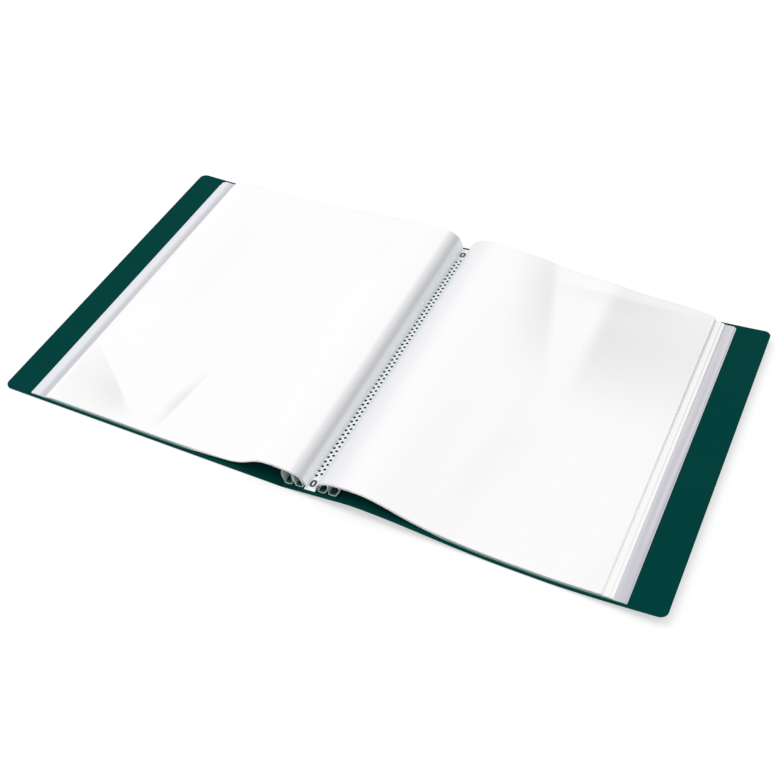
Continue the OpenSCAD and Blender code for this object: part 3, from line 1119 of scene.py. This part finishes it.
def turn_line(first, second):
    """Start and end of a blend that has the wanted shares at two distances."""
    t_first = smooth_inverse(first[1])
    t_second = smooth_inverse(second[1])
    length = (second[0] - first[0]) / (t_second - t_first)
    start = first[0] - t_first * length
    return start, start + length


for first, second in zip(TURN_AT, TURN_AT[1:]):
    print("blend from", [round(v, 1) for v in turn_line(first, second)])

# %% Cut the course in four
FOOT_TO, ARCH_TO, BEND_TO = (distance for distance, share in TURN_AT[:3])
FOOT_STEPS = 12
ARCH_STEPS = 14
REST_STEPS = 6
BEND_STEPS = 22
PAGE_LEAD = 1


def top_lengths(side, step):
    """The stations of the four lengths of the turning film."""
    foot_end = climb_share_at(side, TOP, FOOT_TO, 0)
    arch_end = climb_share_at(side, TOP, ARCH_TO, 0)
    foot = [("climb", t) for t in spread(0, foot_end, FOOT_STEPS)]
    arch = [("climb", t) for t in spread(foot_end, arch_end, ARCH_STEPS)]
    rest = [("climb", t) for t in spread(arch_end, 1, REST_STEPS)]
    bend = rest + [("run", u) for u in spread(CREST_U, BEND_TO, BEND_STEPS)[1:]]
    page = [("run", BEND_TO)]
    for kind, value in film_stations(side, TOP, step):
        if kind == "run" and value > BEND_TO + PAGE_LEAD:
            page.append((kind, value))
    return {"foot": foot, "arch": arch, "bend": bend, "page": page}


print("the turning film's stations:", {k: len(v) for k, v in top_lengths(BACK, 3).items()})

# %% Lay the turning pages
FINE_STEP = 3
PAGE_ROW_STEP = 3.5

for side in (FRONT, BACK):
    name = SIDE_NAME[side]
    rows = film_rows(PAGE_ROW_STEP)
    finish = page_film[side]
    for is_front in (False, True):
        face = "front" if is_front else "back"
        for part, stations in top_lengths(side, FINE_STEP if is_front else COARSE_STEP).items():
            film = lay_film(f"{name}_7_{face}_{part}", side, TOP, is_front, stations, rows, finish)
            if part == "foot":
                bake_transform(film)
                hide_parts(f"{name}_7_root")
                continue
            number = ("arch", "bend", "page").index(part)
            start, end = turn_line(TURN_AT[number], TURN_AT[number + 1])
            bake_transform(film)
            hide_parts(f"{name}_7_{face}_film")
    print(name, "page laid in 8 lengths")

# %% [markdown]
# ## The ends of the welds
# Past the pressed land the films run on for a few millimetres, stuck together but not pressed. On
# the middle weld they droop towards the spine. On the outer welds they sag between the two
# pockets that stand there, which closes a round loop. A small grid, moved to that shape and given
# a thickness, is enough for each end.

# %% The welds' loose ends
TAIL_COLUMNS = 10
TAIL_ROWS = 6
TAIL_THICK = 0.35
TAIL_TOP = 1.48
FAR_TAIL = (147.7, 152.2)
NEAR_TAIL = (-150.7, -152.6)
LOOP_TAIL = (-150.6, -151.3)
MIDDLE_HALF = 4.4
LOOP_LAP = 0.3
DROOP = 0.8
SAG = 1.0


def weld_tail(name, middle, half, ends, droop, sag, finish):
    """The films past the end of a weld, drooping along it and sagging across it."""
    tail = start_sheet(name, TAIL_COLUMNS, TAIL_ROWS)
    side = BACK if middle > 0 else FRONT
    for vertex in tail.data.vertices:
        x = middle + 2 * half * vertex.co.x
        share = vertex.co.y + 0.5 if ends[1] > 0 else 0.5 - vertex.co.y
        y = ends[0] + (ends[1] - ends[0]) * share
        z = cover_top(side, side * x) + TAIL_TOP - droop * share**2
        z -= sag * (1 - (2 * vertex.co.x) ** 2)
        vertex.co = (x * MM, y * MM, z * MM)
    uv_map = tail.data.uv_layers[0]
    uv_map.name = FILM_UV
    for uv in uv_map.data:
        uv.uv.x = 0
    finish_sheet(tail, TAIL_THICK, -1, finish)
    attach(tail, "spine")


weld_tail("weld_3_far_tail", 0, MIDDLE_HALF, FAR_TAIL, DROOP, 0, weld_finish)
weld_tail("weld_3_near_tail", 0, MIDDLE_HALF, NEAR_TAIL, DROOP, 0, weld_finish)
# The loops take the inner films' finish; with a course of 0 they get its painted shade.
for side in (FRONT, BACK):
    for outer_pocket, inner_pocket in ((0, 1), (2, 3)):
        outer, inner = START_U[side][outer_pocket], START_U[side][inner_pocket]
        name = f"{SIDE_NAME[side]}_loop_{inner_pocket}"
        middle = side * (outer + inner) / 2
        half = (outer - inner) / 2 + LOOP_LAP
        weld_tail(name, middle, half, LOOP_TAIL, 0, SAG, middle_film)
print("loose ends on all five welds")

# %% Sizes at the end
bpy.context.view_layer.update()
triangles = sum(len(o.data.loop_triangles) or len(o.data.polygons) * 2 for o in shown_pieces())
print("about", triangles, "triangles")
